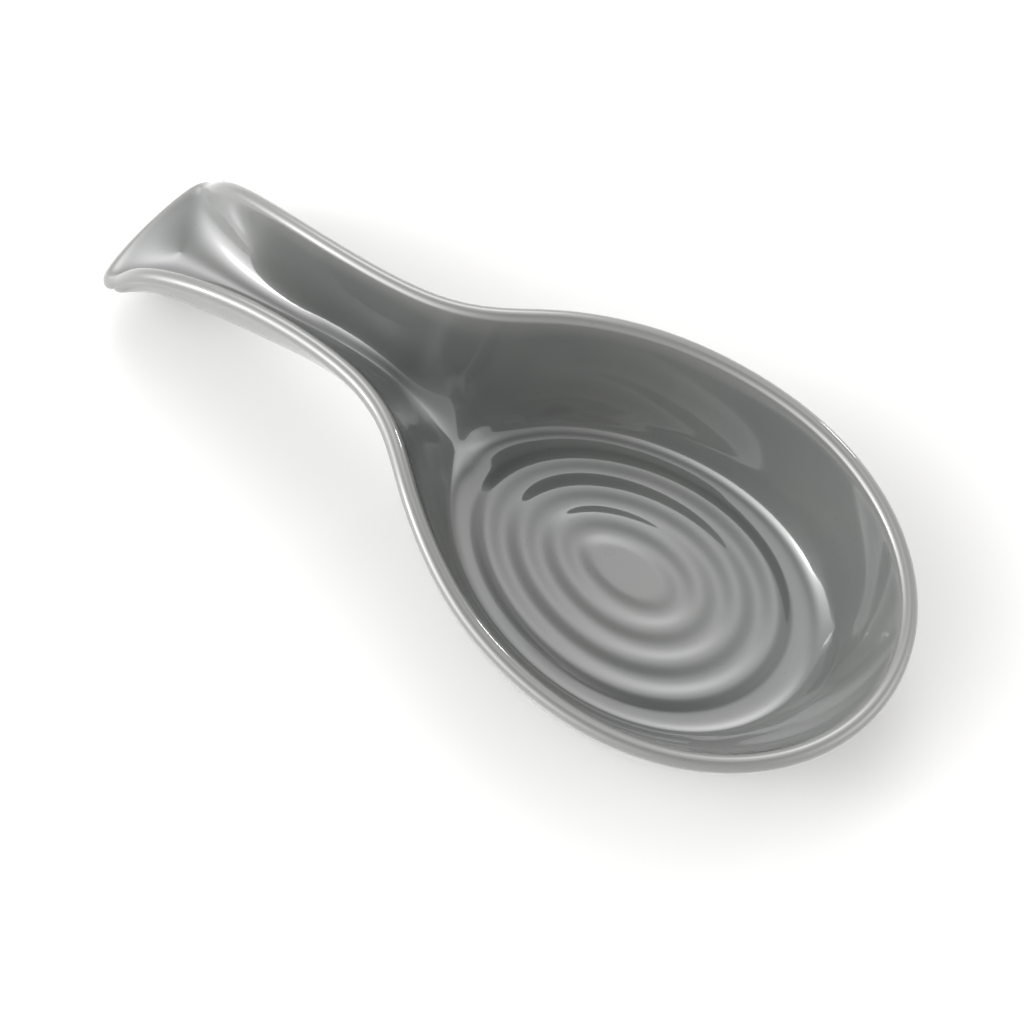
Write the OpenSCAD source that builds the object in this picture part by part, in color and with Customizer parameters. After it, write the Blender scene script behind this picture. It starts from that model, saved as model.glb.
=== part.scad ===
// Spoon rest: one shell of glazed stoneware, an egg-shaped bowl with a rippled floor
// and a flared, hollowed handle.
// X runs along the rest, from the handle's end to the bowl's front. Z is up from the table.

/* [Rim] */
// Length of the bowl, from the neck to the front of the rim's middle line
bowl_l = 144; // [110:1:180]
// Length of the handle, from the neck to the end of the rim's middle line
handle_l = 96; // [70:1:120]
// Width of the bowl across the rim's middle line
bowl_w = 101.5; // [80:0.5:125]
// Width of the handle across the rim's middle line, at its narrowest
handle_w = 27; // [22:1:36]
// Width of the handle's flared end across the rim's middle line
end_w = 38; // [30:1:50]
// Height of the rim's middle line at the neck
neck_h = 45; // [38:1:55]
// Height of the rim's middle line at the bowl's front
front_h = 29.5; // [22:0.5:40]
// Height of the rim's middle line at the handle's end
end_h = 12.5; // [9:0.5:20]

/* [Wall] */
// Thickness of the wall, which is also the width of the rounded rim
wall = 4.6; // [3.5:0.1:6]
// How far the bowl's wall bellies out, from 0 for a straight slope
belly_share = 0.3; // [0:0.05:0.6]

/* [Floor] */
// Length of the bowl's floor
floor_l = 108; // [90:1:120]
// Width of the bowl's floor
floor_w = 75; // [55:1:80]
// Gap along the rest between the floor's front end and the rim's middle line
floor_gap = 21; // [14:1:30]
// Height of the floor above the table
floor_h = 5; // [4.5:0.1:8]
// How much wider the floor's egg is towards the front
egg_share = 0.08; // [0:0.01:0.12]

/* [Ripples] */
// Number of raised rings round the centre island
rings = 3; // [1:1:4]
// Height of the rings and the island above the grooves
ripple_h = 0.95; // [0.6:0.05:2]
// Length of the island, to the middle of its edge
island_l = 31; // [20:1:36]
// Width of the island, to the middle of its edge
island_w = 17; // [10:1:22]
// Width of the flat margin round the outermost ring, along the rest
margin_l = 9.4; // [6:0.2:14]
// Width of the flat margin round the outermost ring, across the rest
margin_w = 5.3; // [4:0.1:9]

/* [Handle hollow] */
// Height of the hollow's lowest line halfway along the handle
trough_h = 22; // [18:0.5:25]
// Distance from the neck back to that place
trough_l = 36; // [30:1:42]
// Height of the hollow's lowest line where it ends
hollow_end_h = 12; // [9:0.5:14]
// Distance from that end to the rim's middle line
hollow_end_gap = 14; // [10:1:18]
// How squarely the hollow's sides turn up at the neck, from a parabola at 2
trough_power = 3.2; // [2:0.1:4]
// The same at the flared end
end_power = 2; // [1.8:0.1:4]

/* [Foot] */
// Width of the unglazed foot ring
foot_w = 3.2; // [2:0.1:5]
// Depth of the recess inside the foot ring
recess_h = 1.2; // [0.6:0.1:1.6]
// Distance that the foot ring's outer edge stands outside the floor's edge
foot_out = 0.6; // [0:0.1:1.2]
// Width of the slope from the foot ring up into the recess
foot_slope = 1.2; // [0.6:0.1:2]

/* [Smoothness] */
// Steps in each stretch of the bowl's rim
bowl_steps = 5; // [3:1:8]
// Steps up the wall
wall_steps = 8; // [5:1:12]
// Steps over the rounded rim
lip_steps = 7; // [5:1:12]
// Steps in each ripple
ripple_steps = 8; // [6:1:12]

/* [Hidden] */
glaze = [0.53, 0.545, 0.55];

lip_r = wall / 2;
half_w = bowl_w / 2;
neck_w = handle_w / 2;
flare_w = end_w / 2;
// The neck's place, so that the rest is centred on the origin
neck_x = (handle_l - bowl_l) / 2;
floor_x = neck_x + bowl_l - floor_gap - floor_l / 2;
floor_back_x = floor_x - floor_l / 2;

// Guide points of the rim's middle line, from the handle's end to the bowl's front.
// Each is a share of the way along the handle or bowl, of a half width, and of the
// rise from the end or front up to the neck.
handle_shares = [
    [1.023, 0, -0.09],
    [0.992, 1.1, -0.025],
    [0.937, 0.985, 0.115],
    [0.848, 0.932, 0.518],
    [0.485, 0.929, 0.896],
    [0, 0.963, 1]
];
bowl_shares = [
    [0.135, 0.588, 1.03],
    [0.264, 0.824, 0.81],
    [0.41, 0.99, 0.52],
    [0.628, 1.04, 0.29],
    [0.83, 0.853, 0.13],
    [0.969, 0.47, 0.03],
    [1.014, 0, -0.03]
];
handle_rows = len(handle_shares) - 1;
// Steps in each stretch of the handle's rim, from its end to the neck
handle_steps = [3, 3, 3, 4, 8];
// The first rows of the handle follow the flared end's width, the rest the narrow width
flare_rows = 4;
guide = concat(
    [for (i = [0:handle_rows]) [
        neck_x - handle_shares[i][0] * handle_l,
        handle_shares[i][1] * (i < flare_rows ? flare_w : neck_w),
        end_h + (neck_h - end_h) * handle_shares[i][2]
    ]],
    [for (s = bowl_shares) [
        neck_x + s[0] * bowl_l,
        s[1] * half_w,
        front_h + (neck_h - front_h) * s[2]
    ]]
);
rows = len(guide) - 1;
bowl_rows = rows - handle_rows;

function mix(a, b, s) = a + (b - a) * s;
function unit(v) = v / norm(v);
function ease(s) = let (t = min(max(s, 0), 1)) t * t * (3 - 2 * t);
function flip(p) = [p[0], -p[1], p[2]];
function guide_at(i) = i < 0 ? flip(guide[-i]) : i > rows ? flip(guide[2 * rows - i]) : guide[i];

// Cubic blend of four neighbouring guide points, which never bends sharply
function blend(a, b, c, d, s) =
    (a * pow(1 - s, 3) + b * (3 * pow(s, 3) - 6 * s * s + 4)
    + c * (-3 * pow(s, 3) + 3 * s * s + 3 * s + 1) + d * pow(s, 3)) / 6;
function rim(r) = let (i = min(floor(r), rows - 1), s = r - i)
    blend(guide_at(i - 1), guide_at(i), guide_at(i + 1), guide_at(i + 2), s);
// Part of a row that the slopes along a curve are taken over
row_step = 0.01;

// Level direction square to the rim, pointing away from the bowl
function outward(r) = let (
    a = rim(max(r - row_step, 0)), b = rim(min(r + row_step, rows)),
    d = unit([b[0] - a[0], b[1] - a[1]])
) r < row_step ? [-1, 0, 0] : r > rows - row_step ? [1, 0, 0] : [-d[1], d[0], 0];

// Egg-shaped loop on the floor, with half lengths a and b, at a turn from the front
function egg(a, b, turn, z) = [
    floor_x + a * cos(turn),
    b * sin(turn) * (1 + egg_share * cos(turn)),
    z
];

// Lowest line of the handle's hollow: up the back of the bowl, over its top near the neck and
// down along the handle
function bezier(a, b, c, d, s) =
    a * pow(1 - s, 3) + 3 * b * s * pow(1 - s, 2) + 3 * c * s * s * (1 - s) + d * pow(s, 3);
middle = [neck_x - trough_l, 0, trough_h];
hollow_end = [neck_x - handle_l + hollow_end_gap, 0, hollow_end_h];
back = [floor_back_x, 0, floor_h];
back_run = back[0] - middle[0];
end_run = middle[0] - hollow_end[0];
rise = trough_h - floor_h;
drop = trough_h - hollow_end_h;
// Handles of the two curves, as shares of the run and of the rise or drop of each
back_shares = [[-0.2, 0.85], [0.57, 0.56]];
end_shares = [[-0.33, -0.48], [0.33, 0.05]];
// How the wall's lines crowd together towards the hollow's end, where 1 spaces them evenly
crowding = 2.6;
function back_line(s) = bezier(back, back + [back_shares[0][0] * back_run, 0, back_shares[0][1] * rise],
    middle + [back_shares[1][0] * back_run, 0, back_shares[1][1] * rise], middle, s);
function end_line(s) = bezier(middle, middle + [end_shares[0][0] * end_run, 0, end_shares[0][1] * drop],
    hollow_end + [end_shares[1][0] * end_run, 0, end_shares[1][1] * drop], hollow_end, s);
function hollow(r) = let (s = handle_rows - r)
    s <= 1 ? back_line(s) : end_line(1 - pow(1 - (s - 1) / (handle_rows - 1), crowding));

// Where each line of the wall starts: on the floor's edge, or on the hollow's lowest line
function start(r) = r >= handle_rows
    ? egg(floor_l / 2, floor_w / 2, 180 * (rows - r) / bowl_rows, floor_h)
    : hollow(r);

// Rows over which the bowl's wall turns into the handle's
blend_rows = 1.5;
// Rows over which the handle's sides soften towards its end
end_rows = 5;
// How far a line of the wall belongs to the handle, from 0 to 1
function handle_part(r) = ease((handle_rows + blend_rows - r) / blend_rows);

// Steepness of the hollow's lowest line, so that the lines that leave it askew start in its plane
function hollow_slope(r) = let (
    q = min(r, handle_rows),
    d = hollow(max(q - row_step, 0)) - hollow(min(q + row_step, handle_rows))
) d[2] / d[0];

// Share of the way out and the rise, at a share u of the way along the wall
function out_share(r, u) = mix(mix(u, sin(90 * u), belly_share), u, handle_part(r));
function up(r, u) = let (
    a = start(r), b = rim(r), rise = b[2] - a[2],
    lean = hollow_slope(r) * (b[0] - a[0]),
    power = mix(end_power, trough_power, ease(pow(r / end_rows, 2)))
) mix(
    rise * mix(u, 1 - cos(90 * u), belly_share),
    lean * u + (rise - lean) * pow(u, power),
    handle_part(r)
);

// Slope of the wall where it meets the rounded rim, taken over the last part of the way up
last_share = 0.02;
function top_slope(r) = let (
    a = start(r), b = rim(r), u = 1 - last_share,
    out = norm([b[0] - a[0], b[1] - a[1]]) - lip_r
) atan2(up(r, 1) - up(r, u), out * (out_share(r, 1) - out_share(r, u)));
// Direction through the wall at its top, from the inside to the outside
function through(r) = let (t = top_slope(r)) outward(r) * sin(t) + [0, 0, -cos(t)];
function along(r) = let (t = top_slope(r)) outward(r) * cos(t) + [0, 0, sin(t)];

function inner(r, u) = let (
    a = start(r), t = through(r), b = rim(r) - lip_r * t,
    q = out_share(r, u)
) [mix(a[0], b[0], q), mix(a[1], b[1], q), a[2] + up(r, u) - lip_r * t[2] * u];

// Lines of the wall on one side, from the bowl's front round to the handle's end
lines = concat(
    [for (i = [rows - 1:-1:handle_rows], k = [0:bowl_steps - 1]) i + 1 - k / bowl_steps],
    [for (i = [handle_rows - 1:-1:0], k = [0:handle_steps[i] - 1]) i + 1 - k / handle_steps[i]],
    [0]
);
half_n = len(lines) - 1;
bowl_n = bowl_rows * bowl_steps;
all_n = 2 * half_n;
function line_row(j) = lines[j <= half_n ? j : all_n - j];
function side(j) = j <= half_n ? 1 : -1;
function on_side(p, j) = side(j) > 0 ? p : [p[0], p[1] == 0 ? 0 : -p[1], p[2]];

grid = [for (j = [0:half_n]) [for (m = [0:wall_steps]) inner(lines[j], m / wall_steps)]];
// Direction out through the wall, square to the inner face
function grid_at(j, m) = j < 0 ? flip(grid[-j][m]) : j > half_n ? flip(grid[all_n - j][m]) : grid[j][m];
function normal(j, m) = m == 0 && j >= bowl_n ? hollow_normal(lines[j]) : let (
    a = grid_at(j, max(m - 1, 0)), b = grid_at(j, min(m + 1, wall_steps)),
    c = grid_at(j - 1, m), d = grid_at(j + 1, m)
) unit(cross(d - c, b - a));
// The same on the hollow's lowest line
function hollow_normal(r) = let (
    d = hollow(max(r - row_step, 0)) - hollow(min(r + row_step, handle_rows))
) unit([-d[2], 0, d[0]]);
outer_grid = [for (j = [0:half_n]) [for (m = [0:wall_steps])
    m == wall_steps ? rim(lines[j]) + lip_r * through(lines[j]) : grid[j][m] + wall * normal(j, m)]];

// One line of the shell: up the inner face, over the rim and down the outer face
function section(j) = let (r = lines[j]) concat(
    grid[j],
    [for (k = [1:lip_steps - 1]) let (t = 180 * k / lip_steps)
        rim(r) - lip_r * cos(t) * through(r) + lip_r * sin(t) * along(r)],
    [for (m = [wall_steps:-1:0]) outer_grid[j][m]]
);
sections = [for (j = [0:half_n]) section(j)];
section_n = len(sections[0]);

// Rings of the rippled floor, by their place v: 0 at the centre, 1 at the island's edge,
// then one for each ring, and one more for the floor's edge
last = rings + 1;
// A quarter of a ripple, from the top of a ring or island to the middle of its slope
quarter = 0.25;
function ring_half(v, first, edge, margin) =
    v <= 1 ? v * first
    : v <= last ? mix(first, edge - margin, (v - 1) / rings)
    : mix(edge - margin, edge, v - last);
function ripple(v) = v < 1 - quarter ? ripple_h
    : v > last + quarter ? 0
    : ripple_h * (1 - sin(360 * v)) / 2;
// Extra rings of points on the flat island and on the flat margin
island_share = 0.4;
margin_share = 0.6;
floor_v = concat(
    [island_share],
    [for (k = [0:(rings + 2 * quarter) * ripple_steps]) 1 - quarter + k / ripple_steps],
    [last + margin_share]
);
function floor_ring(v) = [for (j = floor_lines) egg(
    ring_half(v, island_l / 2, floor_l / 2, margin_l),
    ring_half(v, island_w / 2, floor_w / 2, margin_w),
    turn_of(j), floor_h + ripple(v))];
// Lines that reach the floor's edge, all the way round
floor_lines = concat([for (j = [0:bowl_n]) j], [for (j = [all_n - bowl_n + 1:all_n - 1]) j]);
function turn_of(j) = side(j) * 180 * (rows - line_row(j)) / bowl_rows;

// Rings of the underside, from the outer face in to the recess
foot_rings = [
    [foot_out, 0],
    [foot_out - foot_w, 0],
    [foot_out - foot_w - foot_slope, recess_h]
];
function foot_ring(f) = [for (j = floor_lines)
    egg(floor_l / 2 + f[0], floor_w / 2 + f[0], turn_of(j), f[1])];

ring_n = len(floor_lines);
shell_points = [for (j = [0:all_n - 1], m = [0:section_n - 1])
    on_side(sections[j <= half_n ? j : all_n - j][m], j)];
floor_points = [for (v = floor_v) each floor_ring(v)];
foot_points = [for (f = foot_rings) each foot_ring(f)];
centre_points = [[floor_x, 0, floor_h + ripple_h], [floor_x, 0, recess_h]];
floor_first = len(shell_points);
foot_first = floor_first + len(floor_points);
top_centre = foot_first + len(foot_points);

// The two sides of the handle share the points on its middle line
function shell_at(j, m) = let (k = j % all_n)
    (m == 0 || m == section_n - 1) && k > half_n && k <= all_n - bowl_n
    ? (all_n - k) * section_n + m
    : k * section_n + m;
function floor_at(k, i) = k < len(floor_v)
    ? floor_first + k * ring_n + i % ring_n
    : shell_at(floor_lines[i % ring_n], 0);
function foot_at(k, i) = k == 0
    ? shell_at(floor_lines[i % ring_n], section_n - 1)
    : foot_first + (k - 1) * ring_n + i % ring_n;

function quad(a, b, c, d) = concat(
    a == b || b == c || a == c ? [] : [[a, c, b]],
    a == c || c == d || a == d ? [] : [[a, d, c]]
);
faces = concat(
    [for (j = [0:all_n - 1], m = [0:section_n - 2])
        each quad(shell_at(j, m), shell_at(j, m + 1), shell_at(j + 1, m + 1), shell_at(j + 1, m))],
    [for (i = [0:ring_n - 1]) [top_centre, floor_at(0, i + 1), floor_at(0, i)]],
    [for (k = [0:len(floor_v) - 1], i = [0:ring_n - 1])
        each quad(floor_at(k, i), floor_at(k + 1, i), floor_at(k + 1, i + 1), floor_at(k, i + 1))],
    [for (k = [0:len(foot_rings) - 1], i = [0:ring_n - 1])
        each quad(foot_at(k, i), foot_at(k + 1, i), foot_at(k + 1, i + 1), foot_at(k, i + 1))],
    [for (i = [0:ring_n - 1])
        [foot_at(len(foot_rings), i), foot_at(len(foot_rings), i + 1), top_centre + 1]]
);

module dish() {
    color(glaze)
        polyhedron(points = concat(shell_points, floor_points, foot_points, centre_points), faces = faces);
}

dish();
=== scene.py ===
# %% [markdown]
# # A glazed spoon rest
# This lesson dresses a one-piece stoneware spoon rest. The packed part gives the size and the
# place of the fired body; here that body is modelled again as a fine, smooth mesh, because
# a glossy glaze shows every facet in its reflections. The steps are the rim, the wall,
# the rippled floor, the underside with its foot, the glaze, and then the studio.

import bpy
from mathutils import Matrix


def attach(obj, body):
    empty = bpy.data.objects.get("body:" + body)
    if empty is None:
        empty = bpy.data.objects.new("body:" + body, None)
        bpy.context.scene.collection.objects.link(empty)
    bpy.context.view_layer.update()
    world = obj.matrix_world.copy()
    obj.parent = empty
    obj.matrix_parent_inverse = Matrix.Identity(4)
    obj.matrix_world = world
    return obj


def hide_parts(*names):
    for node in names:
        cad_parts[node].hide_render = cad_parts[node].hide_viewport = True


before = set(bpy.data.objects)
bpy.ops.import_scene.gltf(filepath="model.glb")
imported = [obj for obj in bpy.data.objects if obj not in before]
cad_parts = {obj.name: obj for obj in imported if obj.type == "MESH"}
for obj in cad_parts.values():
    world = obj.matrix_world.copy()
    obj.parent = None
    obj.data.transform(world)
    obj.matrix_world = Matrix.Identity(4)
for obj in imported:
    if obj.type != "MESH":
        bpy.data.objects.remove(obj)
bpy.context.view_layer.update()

# %% [markdown]
# ## Sizes
# A potter's drawing of the rest has few sizes: the bowl's and the handle's length and width,
# three heights of the rim, the wall, the floor and its rings, and the lowest line of the
# handle's hollow. Everything below follows from these, in metres, with X along the rest
# towards the bowl's front and Z up from the table.

# %% The sizes of the rest
import math

import bmesh
import bpy
from mathutils import Vector

MM = 0.001
BOWL_L = 144 * MM
HANDLE_L = 96 * MM
BOWL_W = 101.5 * MM
HANDLE_W = 27 * MM
END_W = 38 * MM
NECK_H = 45 * MM
FRONT_H = 29.5 * MM
END_H = 12.5 * MM
WALL = 4.6 * MM
LIP_R = WALL / 2
FLOOR_L = 108 * MM
FLOOR_W = 75 * MM
FLOOR_GAP = 21 * MM
FLOOR_H = 5 * MM
NECK_X = (HANDLE_L - BOWL_L) / 2
FLOOR_X = NECK_X + BOWL_L - FLOOR_GAP - FLOOR_L / 2
print(f"Bowl {BOWL_L:.3f} m long, handle {HANDLE_L:.3f} m long, neck at x = {NECK_X:.3f} m")

# %% [markdown]
# ## The rim's curve
# The rim is one closed line that swings out round the bowl, draws in at the neck and flares
# at the handle's end, while its height falls both ways from the neck. It could be drawn as
# a curve object, but then the wall could not be measured from it. Here a cubic blend of
# a few guide points gives any point of the rim, at a row number from 0 at the handle's end
# to 12 at the bowl's front. The blend never bends sharply, as a rim smoothed by a sponge.
# Each guide point is three shares: of the length from the neck, of half the width, and of
# the way up from the end's height to the neck's.

# %% Guide points of the rim
HANDLE_SHARES = [
    (1.023, 0, -0.09),
    (0.992, 1.1, -0.025),
    (0.937, 0.985, 0.115),
    (0.848, 0.932, 0.518),
    (0.485, 0.929, 0.896),
    (0, 0.963, 1),
]
BOWL_SHARES = [
    (0.135, 0.588, 1.03),
    (0.264, 0.824, 0.81),
    (0.41, 0.99, 0.52),
    (0.628, 1.04, 0.29),
    (0.83, 0.853, 0.13),
    (0.969, 0.47, 0.03),
    (1.014, 0, -0.03),
]
HANDLE_ROWS = len(HANDLE_SHARES) - 1
FLARE_ROWS = 4  # the first guide points, which take their width from the flared end


def mix(a, b, share):
    return a + (b - a) * share


guide = [
    Vector((NECK_X - along * HANDLE_L, out * (END_W if i < FLARE_ROWS else HANDLE_W) / 2,
            mix(END_H, NECK_H, up)))
    for i, (along, out, up) in enumerate(HANDLE_SHARES)
] + [
    Vector((NECK_X + along * BOWL_L, out * BOWL_W / 2, mix(FRONT_H, NECK_H, up)))
    for along, out, up in BOWL_SHARES
]
ROWS = len(guide) - 1
BOWL_ROWS = ROWS - HANDLE_ROWS
print("Guide points on one side:", len(guide))

# %% The line through the guide points
ROW_STEP = 0.01  # how far along a neighbour is looked up to find a direction


def flip(p):
    """The same point on the other side of the rest."""
    return Vector((p.x, -p.y, p.z))


def guide_at(i):
    """Guide point i, counting on over both ends onto the other side."""
    if i < 0:
        return flip(guide[-i])
    if i > ROWS:
        return flip(guide[2 * ROWS - i])
    return guide[i]


def rim(r):
    """The middle line of the rounded rim at row r, on the side where Y is positive."""
    i = min(math.floor(r), ROWS - 1)
    s = r - i
    a, b, c, d = (guide_at(i + k) for k in (-1, 0, 1, 2))
    return (a * (1 - s) ** 3 + b * (3 * s**3 - 6 * s**2 + 4)
            + c * (-3 * s**3 + 3 * s**2 + 3 * s + 1) + d * s**3) / 6


def outward(r):
    """Level direction square to the rim, away from the bowl."""
    if r < ROW_STEP:
        return Vector((-1, 0, 0))
    if r > ROWS - ROW_STEP:
        return Vector((1, 0, 0))
    d = rim(r + ROW_STEP) - rim(r - ROW_STEP)
    return Vector((-d.y, d.x, 0)).normalized()


print(f"The rim runs from x = {rim(0).x:.4f} m at the handle's end, {rim(0).z:.4f} m high,")
print(f"to x = {rim(ROWS).x:.4f} m at the bowl's front, {rim(ROWS).z:.4f} m high")

# %% [markdown]
# ## Where the wall starts
# Round the bowl the wall rises from the edge of an egg-shaped floor. In the handle there is
# no floor: both sides start on the hollow's lowest line, which climbs the back of the bowl,
# passes over a hump and runs down to the flared end. The line could be set point by point,
# but two Bezier curves keep it smooth whatever the sizes are. Their handles are given as
# shares of the curve's run and rise, and the rows crowd together towards the flared end,
# where the surface bends most.

# %% The floor's egg
EGG_SHARE = 0.08


def egg(a, b, turn, z):
    """A point of an egg on the floor with half lengths a and b, at a turn from the front."""
    width = b * math.sin(turn) * (1 + EGG_SHARE * math.cos(turn))
    return Vector((FLOOR_X + a * math.cos(turn), width, z))


back = egg(FLOOR_L / 2, FLOOR_W / 2, math.pi, FLOOR_H)
print(f"The floor's back is at x = {back.x:.4f} m")

# %% The hollow's lowest line
TROUGH_H = 22 * MM
TROUGH_L = 36 * MM
HOLLOW_END_H = 12 * MM
HOLLOW_END_GAP = 14 * MM
BACK_SHARES = ((-0.2, 0.85), (0.57, 0.56))
END_SHARES = ((-0.33, -0.48), (0.33, 0.05))
CROWDING = 2.6
PROBES = 20  # points tried to find the hollow's top


def bezier(a, b, c, d, s):
    """The point at share s of a curve from a to d, with its handles at b and c."""
    return a * (1 - s) ** 3 + b * (3 * s * (1 - s) ** 2) + c * (3 * s**2 * (1 - s)) + d * s**3


middle = Vector((NECK_X - TROUGH_L, 0, TROUGH_H))
hollow_end = Vector((NECK_X - HANDLE_L + HOLLOW_END_GAP, 0, HOLLOW_END_H))


def curve_between(a, b, shares, run, rise, s):
    """The point at share s of a curve from a to b."""
    handles = [Vector((along * run, 0, up * rise)) for along, up in shares]
    return bezier(a, a + handles[0], b + handles[1], b, s)


def hollow(r):
    """The hollow's lowest line, from the floor's back at the neck's row to its end at row 0."""
    s = HANDLE_ROWS - r
    if s <= 1:
        run, rise = back.x - middle.x, TROUGH_H - FLOOR_H
        return curve_between(back, middle, BACK_SHARES, run, rise, s)
    t = 1 - (1 - (s - 1) / (HANDLE_ROWS - 1)) ** CROWDING
    run, rise = middle.x - hollow_end.x, TROUGH_H - HOLLOW_END_H
    return curve_between(middle, hollow_end, END_SHARES, run, rise, t)


def start(r):
    """Where the wall starts at row r."""
    if r >= HANDLE_ROWS:
        return egg(FLOOR_L / 2, FLOOR_W / 2, math.pi * (ROWS - r) / BOWL_ROWS, FLOOR_H)
    return hollow(r)


hump = max(hollow(HANDLE_ROWS - k / PROBES).z for k in range(PROBES + 1))
print(f"The hollow's top is {hump - back.z:.4f} m above the floor")

# %% [markdown]
# ## The wall's profile
# Seen in a cut, the bowl's wall leans out with a slight belly, and the handle is a trough:
# nearly flat along its lowest line, turning up ever more steeply to the rim. Each cut could
# be drawn by hand, but neighbours would never quite agree. So both are simple formulas of
# one number u, from 0 at the wall's start to 1 at the rim, and beside the neck one eases
# into the other.

# %% Between the bowl's profile and the handle's
BLEND_ROWS = 1.5  # rows on the bowl's side of the neck in which the two profiles blend


def ease(share):
    """The share, held between 0 and 1, with a gentle start and a gentle end."""
    t = min(max(share, 0), 1)
    return t * t * (3 - 2 * t)


def handle_part(r):
    """How much of the handle's profile row r has, from 0 in the bowl to 1 in the handle."""
    return ease((HANDLE_ROWS + BLEND_ROWS - r) / BLEND_ROWS)


print(f"One row past the neck, {handle_part(HANDLE_ROWS + 1):.2f} of the profile is the handle's")

# %% The wall's profile
BELLY_SHARE = 0.3
TROUGH_POWER = 3.2
END_POWER = 2
END_ROWS = 5  # rows in which the flared end's profile turns into the neck's
HALFWAY = 0.5
QUARTER_TURN = math.pi / 2


def hollow_slope(r):
    """How steeply the hollow's lowest line climbs at row r."""
    q = min(r, HANDLE_ROWS)
    d = hollow(max(q - ROW_STEP, 0)) - hollow(min(q + ROW_STEP, HANDLE_ROWS))
    return d.z / d.x


def out_share(r, u):
    """Share of the way out to the rim."""
    return mix(mix(u, math.sin(QUARTER_TURN * u), BELLY_SHARE), u, handle_part(r))


def up(r, u):
    """Height above the wall's start, at share u of the way out."""
    a, b = start(r), rim(r)
    rise = b.z - a.z
    lean = hollow_slope(r) * (b.x - a.x)
    power = mix(END_POWER, TROUGH_POWER, ease((r / END_ROWS) ** 2))
    bowl = rise * mix(u, 1 - math.cos(QUARTER_TURN * u), BELLY_SHARE)
    return mix(bowl, lean * u + (rise - lean) * u**power, handle_part(r))


print(f"The bowl's front wall is {up(ROWS, HALFWAY):.4f} m up at half its way out")

# %% [markdown]
# ## The two faces of the wall
# The rim is a half circle as wide as the wall, and both faces run smoothly into it. The
# outer face is the inner face moved by the wall's thickness, square to the surface, as an
# even layer of cast clay is. A Solidify modifier could thicken a single face, but it would
# leave a square rim to be bevelled, and the foot would have to grow out of its back.

# %% The inner face's formula
LAST_SHARE = 0.02  # the last stretch below the rim, which gives the face's slope there


def rim_directions(r):
    """Two directions at the rim: through the wall to its outside, and on along its face."""
    out = (rim(r) - start(r)).to_2d().length - LIP_R
    u = 1 - LAST_SHARE
    slope = math.atan2(up(r, 1) - up(r, u), out * (out_share(r, 1) - out_share(r, u)))
    through = outward(r) * math.sin(slope) - Vector((0, 0, math.cos(slope)))
    along = outward(r) * math.cos(slope) + Vector((0, 0, math.sin(slope)))
    return through, along


def inner(r, u):
    """The inner face."""
    if r < 0:
        return flip(inner(-r, u))
    if r > ROWS:
        return flip(inner(2 * ROWS - r, u))
    a = start(r)
    through, _ = rim_directions(r)
    b = rim(r) - LIP_R * through
    q = out_share(r, u)
    return Vector((mix(a.x, b.x, q), mix(a.y, b.y, q), a.z + up(r, u) - LIP_R * through.z * u))


print("Wall at the neck, halfway up, inside:", inner(HANDLE_ROWS, HALFWAY))

# %% The outer face's formula
NORMAL_ROWS = 0.1  # how far to both sides a neighbour is looked up to find the normal
NORMAL_SHARE = 0.03


def wall_normal(r, u):
    """Direction out through the wall, square to the inner face."""
    if u == 0 and r <= HANDLE_ROWS:
        d = hollow(max(r - ROW_STEP, 0)) - hollow(min(r + ROW_STEP, HANDLE_ROWS))
        return Vector((-d.z, 0, d.x)).normalized()
    along_wall = inner(r, min(u + NORMAL_SHARE, 1)) - inner(r, max(u - NORMAL_SHARE, 0))
    round_wall = inner(r - NORMAL_ROWS, u) - inner(r + NORMAL_ROWS, u)
    return round_wall.cross(along_wall).normalized()


def outer(r, u):
    """The outer face."""
    if u == 1:
        return rim(r) + LIP_R * rim_directions(r)[0]
    return inner(r, u) + WALL * wall_normal(r, u)


print("Wall at the neck, halfway up, outside:", outer(HANDLE_ROWS, HALFWAY))

# %% [markdown]
# ## Working ring by ring
# A hand modeller would add a circle at the rim and pull the wall out of it with extrusions,
# one ring at a time. A lathe-like spin can't do it, because no two cuts through this dish
# are alike. So each vertex of the first circle gets a number, its line, which every
# extrusion copies, and a small helper sets each new ring down where that line's formula says.

# %% Lines from the rim downwards
BOWL_STEPS = 8
HANDLE_STEPS = (6, 6, 6, 7, 14)  # lines in each row, from the flared end to the neck
lines = []
for i in range(ROWS - 1, HANDLE_ROWS - 1, -1):
    lines += [i + 1 - k / BOWL_STEPS for k in range(BOWL_STEPS)]
for i in range(HANDLE_ROWS - 1, -1, -1):
    lines += [i + 1 - k / HANDLE_STEPS[i] for k in range(HANDLE_STEPS[i])]
lines += [0]
HALF = len(lines) - 1
ALL = 2 * HALF
print("Lines on both sides together:", ALL)

# %% A circle with numbered points
bpy.ops.object.select_all(action="DESELECT")
bpy.ops.mesh.primitive_circle_add(vertices=ALL, radius=BOWL_W / 2, location=(0, 0, 0))
body = bpy.context.object
body.name = "glazed_body"
body.data.name = "glazed_body"
line_numbers = body.data.attributes.new("line", "INT", "POINT")
line_numbers.data.foreach_set("value", range(ALL))
body.data.attributes.new("thin", "FLOAT", "POINT")
print("Circle with", len(body.data.vertices), "points")

# %% The first ring, on the top of the rim
def on_line(point, *args):
    """A placing rule: point(row, ...) on each line, turned over on the far side."""
    kept = [point(row, *args) for row in lines]
    return lambda j: kept[j] if j <= HALF else flip(kept[ALL - j])


def over_lip(r, turn):
    """The rounded rim, from its inner face at turn 0 to its outer face at a half turn."""
    through, along = rim_directions(r)
    return rim(r) - through * (LIP_R * math.cos(turn)) + along * (LIP_R * math.sin(turn))


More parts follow.
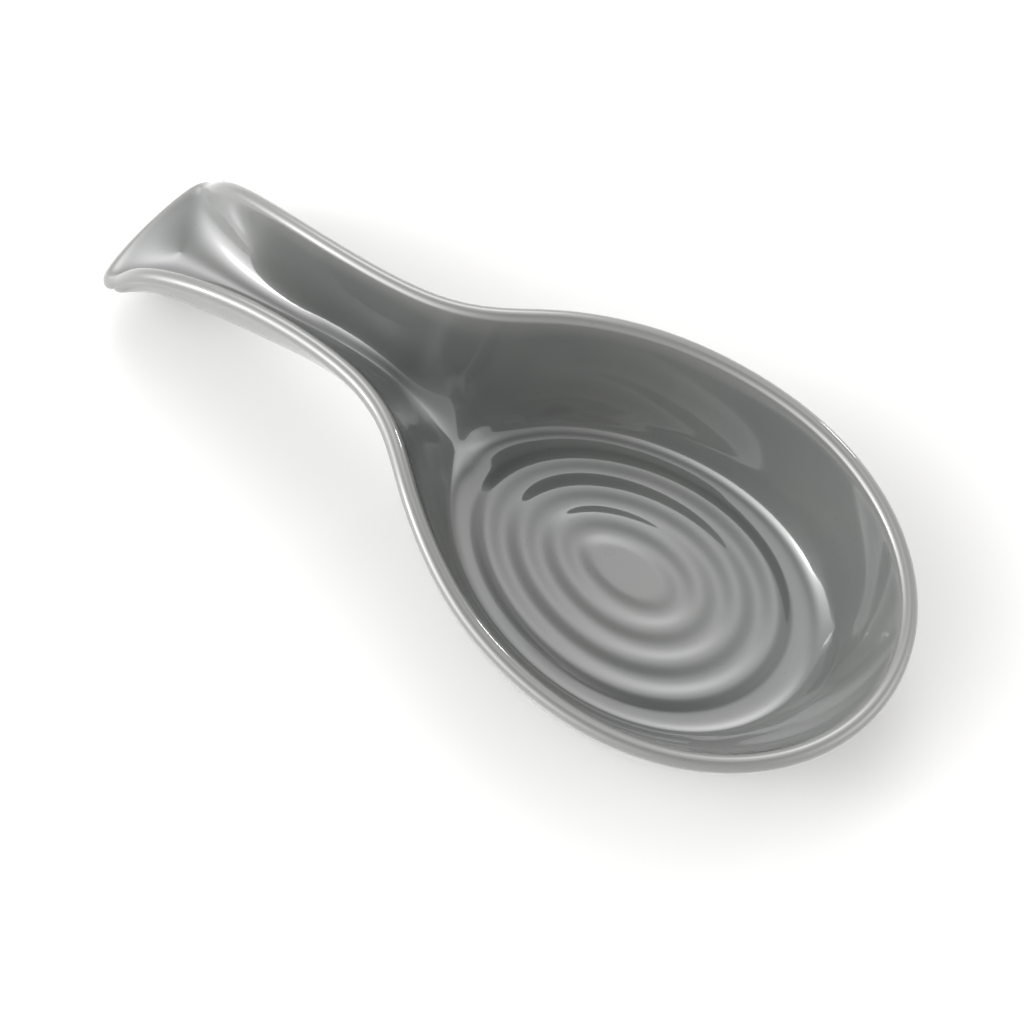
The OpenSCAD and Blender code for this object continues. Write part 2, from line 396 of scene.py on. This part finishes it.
def place(rule, thin):
    """Sets the selected ring down by the rule, and notes how thin the glaze is there."""
    mesh = bmesh.from_edit_mesh(body.data)
    line_of = mesh.verts.layers.int["line"]
    thin_of = mesh.verts.layers.float["thin"]
    for v in mesh.verts:
        if v.select:
            v.co = rule(v[line_of])
            v[thin_of] = thin
    bmesh.update_edit_mesh(body.data)


bpy.ops.object.mode_set(mode="EDIT")
bpy.ops.mesh.select_mode(type="EDGE")
bpy.ops.mesh.select_all(action="SELECT")
place(on_line(over_lip, QUARTER_TURN), 1)
print("First ring:", ALL, "points")

# %% [markdown]
# ## Down the inner face
# Half of the rounded lip, then the inner face, which the spoon lies on and the camera sees
# most of. Even steps would spend many faces where the wall is plain, so the steps are close
# together near the rim and near the floor, where the surface bends most, and wide between.
# In the handle both sides end on the same lowest line, and merging by distance joins them
# there.

# %% Pull the inner face down
LIP_STEPS = 10
WALL_STEPS = 14
END_CROWDING = 0.55
MERGE = 0.001 * MM
LIP_FADE = 0.12  # share of the wall, below the rim, over which the glaze thickens


def spread(k, steps):
    """Shares from 1 down to 0, closer together at both ends."""
    share = 1 - k / steps
    return mix(share, ease(share), END_CROWDING)


def fade(u):
    """How thin the glaze is near the rim, where it drained away while it melted."""
    return max(0, (u - 1 + LIP_FADE) / LIP_FADE)


def pull(rule, thin=0.0):
    """Extrudes the selected ring once and places the new one."""
    bpy.ops.mesh.extrude_region()
    place(rule, thin)


for k in range(LIP_STEPS // 2 - 1, 0, -1):
    pull(on_line(over_lip, math.pi * k / LIP_STEPS), 1)
for k in range(WALL_STEPS + 1):
    pull(on_line(inner, spread(k, WALL_STEPS)), fade(spread(k, WALL_STEPS)))
bpy.ops.mesh.remove_doubles(threshold=MERGE)
print("Faces after the inner face:", len(bmesh.from_edit_mesh(body.data).faces))

# %% [markdown]
# ## Softening the flared end
# Clay has no creases, because every surface was sponged before firing, but where the handle's
# far end turns up, the formula leaves a faint fold. A bevel would need one clean loop of
# edges there, so the points are smoothed instead: each moves towards the middle of its
# neighbours a few times. One region smoothed all at once would show its border in the glaze,
# so the region grows step by step towards the bowl, and the far end is smoothed most.

# %% Soften the flared end
SOFT_START = hollow_end.x + 4 * MM
SOFT_STEP = 4 * MM
SOFT_STEPS = 12
SOFT_PASSES = 10


def soften(test, passes):
    """Smooths the points whose place and thinness of glaze pass the test."""
    bpy.ops.mesh.select_all(action="DESELECT")
    bpy.ops.mesh.select_mode(type="VERT")
    mesh = bmesh.from_edit_mesh(body.data)
    thin_of = mesh.verts.layers.float["thin"]
    for v in mesh.verts:
        v.select_set(test(v.co, v[thin_of]))
    mesh.select_flush_mode()
    bmesh.update_edit_mesh(body.data)
    print("Points softened:", sum(v.select for v in mesh.verts))
    bpy.ops.mesh.vertices_smooth(factor=HALFWAY, repeat=passes)
    bpy.ops.mesh.select_mode(type="EDGE")


for k in range(SOFT_STEPS):
    soften(lambda p, thin: p.x < SOFT_START + k * SOFT_STEP and thin == 0, SOFT_PASSES)

# %% [markdown]
# ## The rippled floor
# The floor carries raised rings round an island, which keep a wet spoon off the drips. They
# could be a displaced plane, but here every ring is an egg of its own, so the floor is pulled
# inwards from the wall's foot: a flat margin first, then a wave that falls from each egg to
# the next groove, and at last the flat top of the island, closed by one fan of triangles.
# The island is a little smaller here than in the packed part, and the grooves get shallower
# towards it, which brings their reflections closer to those of the real rest.

# %% The wave across the floor
RINGS = 3
RIPPLE_H = 0.95 * MM
GROOVE_SHARES = (0.38, 0.6)  # depths of the grooves as shares of the height, going outwards
ISLAND_L = 26 * MM
ISLAND_W = 13.5 * MM
MARGIN_L = 9.4 * MM
MARGIN_W = 6 * MM
LAST_RING = RINGS + 1
QUARTER = 0.25  # of a wave, from a slope's middle to its crest or groove


def ring_half(v, first, edge, margin):
    """Half the size of the egg at place v: 1 is the island's edge, then one for each ring."""
    if v <= 1:
        return v * first
    if v <= LAST_RING:
        return mix(first, edge - margin, (v - 1) / RINGS)
    return mix(edge - margin, edge, v - LAST_RING)


def ripple(v):
    """Height of the wave at place v, flat on the island and on the margin."""
    if v < 1 - QUARTER:
        return RIPPLE_H
    if v > LAST_RING + QUARTER:
        return 0
    depth = mix(*GROOVE_SHARES, (v - 1) / RINGS) if v < LAST_RING - QUARTER else 1
    return RIPPLE_H * (1 - depth * (1 + math.sin(2 * math.pi * v)) / 2)


print(f"The groove inside the last ring is {RIPPLE_H - ripple(RINGS + QUARTER):.5f} m deep")

# %% Places of the floor's rings
RIPPLE_STEPS = 14
WAVE_STEPS = round((RINGS + 2 * QUARTER) * RIPPLE_STEPS)
MARGIN_PLACES = (0.86, 0.7, 0.5)
ISLAND_PLACES = (0.6, 0.4, 0.2)


def turn_of(j):
    """The turn round the egg at which line j starts."""
    row = lines[j] if j <= HALF else lines[ALL - j]
    return (1 if j <= HALF else -1) * math.pi * (ROWS - row) / BOWL_ROWS


def floor_ring(v):
    """The placing rule of the egg at place v."""
    a = ring_half(v, ISLAND_L / 2, FLOOR_L / 2, MARGIN_L)
    b = ring_half(v, ISLAND_W / 2, FLOOR_W / 2, MARGIN_W)
    return lambda j: egg(a, b, turn_of(j), FLOOR_H + ripple(v))


places = [LAST_RING + share for share in MARGIN_PLACES]
places += [LAST_RING + QUARTER - k / RIPPLE_STEPS for k in range(WAVE_STEPS + 1)]
places += ISLAND_PLACES
print("Rings on the floor:", len(places))

# %% Pull the floor inwards
CREST_THIN = 0.3  # how thin the glaze is on the rings


def select_where(test):
    """Selects the open edges whose middle passes the test."""
    bpy.ops.mesh.select_all(action="DESELECT")
    mesh = bmesh.from_edit_mesh(body.data)
    for e in mesh.edges:
        if len(e.link_faces) <= 1 and test((e.verts[0].co + e.verts[1].co) / 2):
            e.select_set(True)
    bmesh.update_edit_mesh(body.data)


select_where(lambda p: p.z < FLOOR_H + MERGE)
for v in places:
    pull(floor_ring(v), CREST_THIN * ripple(v) / RIPPLE_H)
print("Faces after the floor's rings:", len(bmesh.from_edit_mesh(body.data).faces))

# %% Close the island
def close_ring(centre, thin):
    """Fills the selected ring with a fan of triangles round a centre point."""
    bpy.ops.mesh.edge_face_add()
    bpy.ops.mesh.poke()
    mesh = bmesh.from_edit_mesh(body.data)
    hub = max(mesh.verts, key=lambda v: len(v.link_edges) if v.select else 0)
    hub.co = centre
    hub[mesh.verts.layers.float["thin"]] = thin
    bmesh.update_edit_mesh(body.data)


close_ring(Vector((FLOOR_X, 0, FLOOR_H + RIPPLE_H)), CREST_THIN)
print("Faces after the island:", len(bmesh.from_edit_mesh(body.data).faces))

# %% [markdown]
# ## Softening the corner round the floor
# The floor meets the wall in a corner that a potter's thumb would have rounded. A bevel would
# give it one exact radius, with two borders that show as lines in a glossy glaze. So the same
# smoothing as in the flared end does it, for all points near the edge of the floor.

# %% Soften the corner round the floor
CORNER_R = 5 * MM
CORNER_PASSES = 14


def from_corner(p):
    """Distance of a point from the edge of the floor."""
    turn = math.atan2(p.y / FLOOR_W, (p.x - FLOOR_X) / FLOOR_L)
    return (p - egg(FLOOR_L / 2, FLOOR_W / 2, turn, FLOOR_H)).length


soften(lambda p, thin: from_corner(p) < CORNER_R, CORNER_PASSES)

# %% [markdown]
# ## The outer face and the foot
# From the same first ring the other half of the lip and the outer face are pulled down. Under
# the bowl they meet a foot ring, the only place that touches the table: it is wiped free of
# glaze before firing, so that the rest doesn't stick to the kiln shelf. Inside the ring the
# base is set back a little. The foot could be a ring of its own, joined to the base, but the
# real one is formed in the same clay, so it is pulled out of the same skin. The extra rings
# beside each corner keep it crisp when the whole surface is smoothed. Each place of the foot
# is its distance outside the floor's edge and its height above the table.

# %% Places of the foot
FOOT_OUT = 0.6 * MM
FOOT_W = 3.2 * MM
FOOT_SLOPE = 1.2 * MM
RECESS_H = 1.2 * MM
FOOT_ROUND = 0.4 * MM
BASE_SHARES = (0.2, 0.385)
foot_places = [
    (FOOT_OUT + FOOT_ROUND / 2, FOOT_ROUND),
    (FOOT_OUT - FOOT_ROUND / 2, 0),
    (FOOT_OUT - FOOT_ROUND, 0),
    (FOOT_OUT - FOOT_W + FOOT_ROUND, 0),
    (FOOT_OUT - FOOT_W, 0),
    (FOOT_OUT - FOOT_W - FOOT_SLOPE, RECESS_H),
    (FOOT_OUT - FOOT_W - FOOT_SLOPE - FOOT_ROUND, RECESS_H),
]
foot_places += [(-share * FLOOR_W, RECESS_H) for share in BASE_SHARES]
print("Rings under the bowl:", len(foot_places))

# %% Pull the outer face and the foot
def foot_ring(out, z):
    """The placing rule of an egg that far outside the floor's edge, at height z."""
    return lambda j: egg(FLOOR_L / 2 + out, FLOOR_W / 2 + out, turn_of(j), z)


select_where(lambda p: p.z > FLOOR_H)
for k in range(LIP_STEPS // 2 + 1, LIP_STEPS):
    pull(on_line(over_lip, math.pi * k / LIP_STEPS), 1)
for k in range(WALL_STEPS + 1):
    pull(on_line(outer, spread(k, WALL_STEPS)), fade(spread(k, WALL_STEPS)))
bpy.ops.mesh.remove_doubles(threshold=MERGE)
select_where(lambda p: True)
for out, z in foot_places:
    pull(foot_ring(out, z))
close_ring(Vector((FLOOR_X, 0, RECESS_H)), 0)
print("Faces in all:", len(bmesh.from_edit_mesh(body.data).faces))

# %% [markdown]
# ## Smoothing
# Smooth shading alone hides the facets inside the picture of the rest, but not along its
# outline. So all faces are first turned to look outwards, and one applied level of
# Subdivision Surface turns the rings into one continuous skin. The rings are close enough
# that it hardly shrinks.

# %% Smooth the body
CUBIC_CENTIMETRE = (10 * MM) ** 3
bpy.ops.mesh.select_all(action="SELECT")
bpy.ops.mesh.normals_make_consistent(inside=False)
bpy.ops.object.mode_set(mode="OBJECT")
smooth = body.modifiers.new("smooth", "SUBSURF")
smooth.levels = 1
smooth.render_levels = 1
bpy.ops.object.modifier_apply(modifier=smooth.name)
bpy.ops.object.shade_smooth()
check = bmesh.new()
check.from_mesh(body.data)
print("Open edges:", sum(len(e.link_faces) != 2 for e in check.edges))
print("Volume in cubic centimetres:", round(check.calc_volume() / CUBIC_CENTIMETRE, 2))
print("Triangles:", sum(len(f.verts) - 2 for f in check.faces))
check.free()

# %% [markdown]
# ## Sums on sockets
# A glaze is worked out from many small sums, and a Math node for each would take a page. This
# class wraps a socket so that ordinary Python sums add the nodes, and the function after it
# adds any other node: it sets the node's settings first and then the values or links of its
# inputs.

# %% Sums on sockets
class Wire:
    """A socket that can be added, multiplied and so on, by adding Math nodes to its tree."""

    def __init__(self, tree, socket):
        self.tree = tree
        self.socket = socket

    def math(self, operation, *values):
        return add_node(self.tree, "ShaderNodeMath", {"operation": operation},
                        dict(enumerate((self, *values))))

    def __add__(self, other):
        return self.math("ADD", other)

    def __sub__(self, other):
        return self.math("SUBTRACT", other)

    def __mul__(self, other):
        return self.math("MULTIPLY", other)

    def __rsub__(self, other):
        settings = {"operation": "SUBTRACT"}
        return add_node(self.tree, "ShaderNodeMath", settings, {0: other, 1: self})

    __radd__ = __add__
    __rmul__ = __mul__

    def between(self, low, high):
        """0 below low, 1 above high and smooth between."""
        return add_node(self.tree, "ShaderNodeMapRange", {"interpolation_type": "SMOOTHSTEP"},
                        {"Value": self, "From Min": low, "From Max": high})


print("What a wire can do:", [name for name, what in vars(Wire).items() if callable(what)])

# %% Nodes in one call
def add_node(tree, kind, settings=None, inputs=None, output=0):
    """Adds a node, sets its settings, then its inputs, and gives back one of its outputs."""
    node = tree.nodes.new(kind)
    for name, value in (settings or {}).items():
        setattr(node, name, value)
    for name, value in (inputs or {}).items():
        if isinstance(value, Wire):
            tree.links.new(value.socket, node.inputs[name])
        else:
            node.inputs[name].default_value = value
    return Wire(tree, node.outputs[output])


def blend_colours(tree, share, a, b):
    """Colour a where share is 0 and colour b where it is 1."""
    inputs = {"Factor": share, "A": a, "B": b}
    return add_node(tree, "ShaderNodeMix", {"data_type": "RGBA"}, inputs, "Result")


def noise(tree, place, scale, detail=2.0, roughness=0.5):
    """Cloudy noise between 0 and 1, with about that many clouds in a metre."""
    inputs = {"Vector": place, "Scale": scale, "Detail": detail, "Roughness": roughness}
    return add_node(tree, "ShaderNodeTexNoise", {}, inputs)


print("Helpers for nodes:", add_node.__name__, blend_colours.__name__, noise.__name__)

# %% [markdown]
# ## The glaze's colours
# The glaze is a mid-grey glass over a buff clay. It has drained off the rim and a little off
# the rings, where the paler clay shines through. Its colour drifts slightly over a few
# centimetres, and tiny iron specks are scattered in it, in patches. Under the foot the bare
# clay is pale and gritty, with a slightly uneven glaze line. All this could be painted on an
# image, but that would need a seam somewhere and would blur close up. Noise on the object's
# own coordinates has neither fault, and the thinness that the rings carry says where the
# glaze has drained.

# %% Grey glass over clay
GLAZE = (0.11, 0.114, 0.109, 1)
GLAZE_DEEP = (0.094, 0.101, 0.099, 1)
GLAZE_THIN = (0.15, 0.15, 0.142, 1)
DRIFT_SCALE, DRIFT_DETAIL, DRIFT_RANGE = 28.0, 3.0, (0.3, 0.7)
FINE_SCALE, FINE_DETAIL, FINE_ROUGHNESS = 160.0, 4.0, 0.6
WORN_BREAK, WORN_RANGE, WORN_STRENGTH = 0.25, (0.15, 1.05), 0.85
MEAN = 0.5  # of any noise

material = bpy.data.materials.new("grey_glaze")
material.use_nodes = True
tree = material.node_tree
shader = tree.nodes["Principled BSDF"]
spot = add_node(tree, "ShaderNodeTexCoord", output="Object")
height = add_node(tree, "ShaderNodeSeparateXYZ", {}, {"Vector": spot}, "Z")
thin = add_node(tree, "ShaderNodeAttribute", {"attribute_name": "thin"}, {}, "Fac")

drift = noise(tree, spot, DRIFT_SCALE, DRIFT_DETAIL)
fine = noise(tree, spot, FINE_SCALE, FINE_DETAIL, FINE_ROUGHNESS)
colour = blend_colours(tree, drift.between(*DRIFT_RANGE), GLAZE_DEEP, GLAZE)
worn = (thin + WORN_BREAK * (fine - MEAN)).between(*WORN_RANGE)
colour = blend_colours(tree, worn * WORN_STRENGTH, colour, GLAZE_THIN)
print("Nodes for the glass:", len(tree.nodes))

# %% Iron specks
SPECK = (0.07, 0.06, 0.05, 1)
SPECK_SCALE, SPECK_RANGE, SPECK_STRENGTH = 420.0, (0.07, 0.13), 0.55
PATCH_SCALE, PATCH_DETAIL, PATCH_RANGE = 90.0, 1.0, (0.56, 0.6)

inputs = {"Vector": spot, "Scale": SPECK_SCALE}
cells = add_node(tree, "ShaderNodeTexVoronoi", {"feature": "F1"}, inputs)
chosen = noise(tree, spot, PATCH_SCALE, PATCH_DETAIL).between(*PATCH_RANGE)
speck = (1 - cells.between(*SPECK_RANGE)) * chosen
colour = blend_colours(tree, speck * SPECK_STRENGTH, colour, SPECK)
print("Nodes with the specks:", len(tree.nodes))

# %% The glaze line and the bare clay
CLAY = (0.52, 0.46, 0.38, 1)
CLAY_DARK = (0.4, 0.35, 0.29, 1)
GLAZE_LINE = 0.5 * MM
LINE_START = 0.6 * GLAZE_LINE
LINE_SCALE, LINE_WANDER = 120.0, 0.5 * MM
GRIT_SCALE = 1400.0

uneven = noise(tree, spot, LINE_SCALE) - MEAN
bare = 1 - (height + uneven * LINE_WANDER).between(LINE_START, GLAZE_LINE)
grit = noise(tree, spot, GRIT_SCALE)
clay = blend_colours(tree, grit, CLAY, CLAY_DARK)
colour = blend_colours(tree, bare, colour, clay)
tree.links.new(colour.socket, shader.inputs["Base Color"])
print("Nodes for the whole colour:", len(tree.nodes))

# %% [markdown]
# ## The glaze's shine
# Glossy glaze mirrors sharply, with a soft halo round each highlight. One smooth surface
# would give the mirror alone and one rough surface the halo alone, so a clear, smooth coat
# lies over a rougher base. Both have the faint waviness of poured glass. The bare clay is
# dull and has no coat. The coat bends light a little more than window glass does, which
# makes what it mirrors brighter.

# %% The glaze's shine
SATIN, SATIN_CHANGE = 0.3, 0.1
CLAY_ROUGHNESS = 0.85
COAT_ROUGHNESS = 0.035
COAT_IOR = 1.7
BASE_IOR = 1.45
WAVE_SCALE, WAVE_HEIGHT = 55.0, 0.06
DIMPLE_SCALE, DIMPLE_HEIGHT = 300.0, 0.008
GRIT_HEIGHT = 0.1

satin = SATIN + SATIN_CHANGE * (fine - MEAN)
rough = satin * (1 - bare) + CLAY_ROUGHNESS * bare
tree.links.new(rough.socket, shader.inputs["Roughness"])
tree.links.new((1 - bare).socket, shader.inputs["Coat Weight"])
shader.inputs["Coat Roughness"].default_value = COAT_ROUGHNESS
shader.inputs["Coat IOR"].default_value = COAT_IOR
shader.inputs["IOR"].default_value = BASE_IOR

waves = noise(tree, spot, WAVE_SCALE) * WAVE_HEIGHT
dimples = noise(tree, spot, DIMPLE_SCALE) * DIMPLE_HEIGHT
bumps = waves + dimples + grit * (bare * GRIT_HEIGHT)
inputs = {"Strength": 1.0, "Distance": MM, "Height": bumps}
bump = add_node(tree, "ShaderNodeBump", {}, inputs, "Normal")
tree.links.new(bump.socket, shader.inputs["Normal"])

body.data.materials.clear()
body.data.materials.append(material)
print("Glaze nodes:", len(tree.nodes))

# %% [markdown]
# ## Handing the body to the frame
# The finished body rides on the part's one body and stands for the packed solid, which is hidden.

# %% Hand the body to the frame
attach(body, "root")
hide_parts("dish")
print("The piece", body.name, "stands for the packed dish")

# %% [markdown]
# ## The table
# A plain pale table that runs far past the picture. A sweep that curves up behind the rest
# could hide the horizon, but the camera looks down so steeply that a flat plane fills the
# picture. The bright room burns it out to white, apart from the soft shadow of the rest. Its
# paint is nearly matt and a trace warm.

# %% The table
TABLE = (0.69, 0.687, 0.675, 1)
TABLE_SIZE = 6
TABLE_ROUGHNESS = 0.7
bpy.ops.object.select_all(action="DESELECT")
bpy.ops.mesh.primitive_plane_add(size=TABLE_SIZE, location=(0, 0, 0))
table = bpy.context.object
table.name = "table"
paint = bpy.data.materials.new("white_table")
paint.use_nodes = True
paint.node_tree.nodes["Principled BSDF"].inputs["Base Color"].default_value = TABLE
paint.node_tree.nodes["Principled BSDF"].inputs["Roughness"].default_value = TABLE_ROUGHNESS
table.data.materials.append(paint)
print("Table", table.dimensions.x, "m wide")

# %% [markdown]
# ## The room
# The look of a glossy grey dish is mostly the look of what it mirrors. Soft boxes would show
# their edges in the glaze, so the room is painted as a sky instead. It is even all round,
# with soft glows on it. Each glow has a direction, a narrowness and a strength, and fades
# away from its direction like a bell curve. Seen from the camera, two wide ones stand low on
# the left, and a narrow one inside the first draws the streak in the handle. Two stand beyond
# the rest, and one on the right lightens the shadow. The last one has a strength below zero:
# it darkens the sky overhead, near the camera.

# %% Directions of the glows
def from_direction(round_by, down_by, distance=1.0):
    """A place that far off, turned from +X and leaned down from straight above, in degrees."""
    turn = math.radians(round_by)
    lean = math.radians(down_by)
    level = Vector((math.cos(turn), math.sin(turn), 0)) * math.sin(lean)
    return distance * (level + Vector((0, 0, math.cos(lean))))


GLOWS = (
    (from_direction(-138, 64), 12, 5.5),
    (from_direction(-105, 60), 12, 2.3),
    (from_direction(-140, 65), 260, 18.0),
    (from_direction(130, 50), 26, 4.4),
    (from_direction(115, 22), 25, 1.2),
    (from_direction(20, 60), 12, 2.2),
    (from_direction(-60, 6), 4, -1.0),
)
print("Glows in the room:", len(GLOWS))

# %% Paint the room
ROOM_BASE = 1.12
WHITE = (1, 1, 1, 1)

scene = bpy.context.scene
scene.view_settings.view_transform = "Standard"
world = bpy.data.worlds.new("room")
world.use_nodes = True
scene.world = world
room = world.node_tree
looking = add_node(room, "ShaderNodeTexCoord", output="Generated")
light = ROOM_BASE
for towards, narrowness, strength in GLOWS:
    inputs = {0: looking, 1: towards}
    near = add_node(room, "ShaderNodeVectorMath", {"operation": "DOT_PRODUCT"}, inputs, "Value")
    light = ((near - 1) * narrowness).math("EXPONENT") * strength + light
room.nodes["Background"].inputs["Color"].default_value = WHITE
room.links.new(light.socket, room.nodes["Background"].inputs["Strength"])
print("Nodes for the room:", len(room.nodes))

# %% [markdown]
# ## A small lamp
# One small, bright, low panel beyond the rest draws the thin bright line along the rim. An
# area light is used and not one more glow, because its edges stay sharp in the coat.

# %% A small lamp
SPARK_PLACE = from_direction(85, 74, 1.2)
SPARK_SIZE = 0.12
SPARK_RADIANCE = 25
bpy.ops.object.light_add(type="AREA", location=SPARK_PLACE)
spark = bpy.context.object
spark.name = "spark"
spark.data.size = SPARK_SIZE
spark.data.energy = SPARK_RADIANCE * math.pi * SPARK_SIZE**2
spark.rotation_euler = (-SPARK_PLACE).to_track_quat("-Z", "Y").to_euler()
print(f"The lamp gives {spark.data.energy:.2f} W")

# %% [markdown]
# ## The camera
# The camera looks down steeply, as in a catalogue picture, over the bowl's near side. It could
# be placed by coordinates, but it is easier to turn or bring closer when its place is a
# direction and a distance from the point that it looks at.

# %% The camera
CAMERA_UP = math.radians(63.0)
CAMERA_ROUND = math.radians(37.79)
CAMERA_AWAY = 0.6499
CAMERA_TARGET = Vector((0.0087, -0.0024, 0))
LENS = 85.61
SENSOR = 36
NEAREST = 10 * MM

lens = bpy.data.cameras.new("camera")
camera = bpy.data.objects.new("camera", lens)
scene.collection.objects.link(camera)
scene.camera = camera
level = Vector((math.sin(CAMERA_ROUND), -math.cos(CAMERA_ROUND), 0)) * math.cos(CAMERA_UP)
away = level + Vector((0, 0, math.sin(CAMERA_UP)))
camera.location = CAMERA_TARGET + away * CAMERA_AWAY
camera.rotation_euler = away.to_track_quat("Z", "Y").to_euler()
lens.sensor_width = SENSOR
lens.lens = LENS
lens.clip_start = NEAREST
print("Camera at", camera.location)

# %% [markdown]
# ## The box
# The dressed rest must fill the same box as the packed part.
